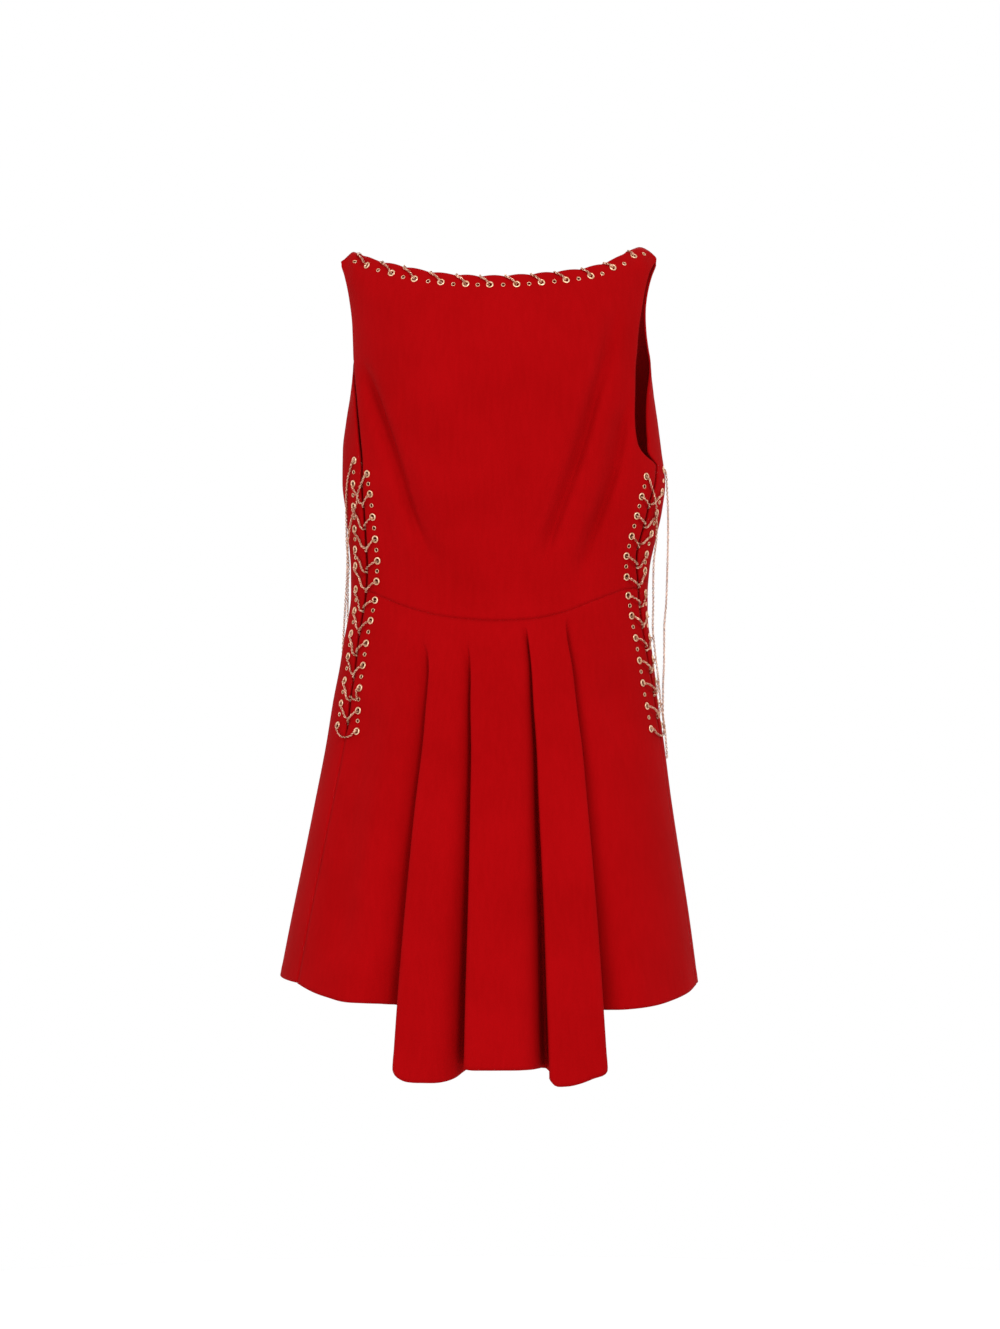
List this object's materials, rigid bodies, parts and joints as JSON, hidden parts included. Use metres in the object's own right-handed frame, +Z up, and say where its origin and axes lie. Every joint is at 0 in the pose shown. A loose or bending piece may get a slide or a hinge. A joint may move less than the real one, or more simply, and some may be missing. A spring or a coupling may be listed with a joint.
{
  "type": "mini dress",
  "caption": "Sleeveless A-line mini dress with a boat neck whipped in chain, chain-laced side openings and a pleated back hem that dips to a tail.",
  "frame": {"origin": "middle of the shoulder line, where the wearer holds the dress", "axes": "+Z up along the body; the back, with the pleated tail, faces -Y and the front +Y; +X is to the right of someone looking at the back"},
  "size_m": [0.4379, 0.3218, 0.8641],
  "materials": {
    "red_cloth": "matt crepe weave",
    "chain_metal": "polished twisted chain"
  },
  "bodies": {
    "root": {"back_bodice": "red_cloth", "front_bodice": "red_cloth", "back_skirt": "red_cloth", "front_skirt": "red_cloth", "neck_chain": "chain_metal", "side_lace_left": "chain_metal", "side_lace_right": "chain_metal", "lace_end_left_near": "chain_metal", "lace_end_left_far": "chain_metal", "lace_end_right_near": "chain_metal", "lace_end_right_far": "chain_metal"}
  },
  "joints": []
}
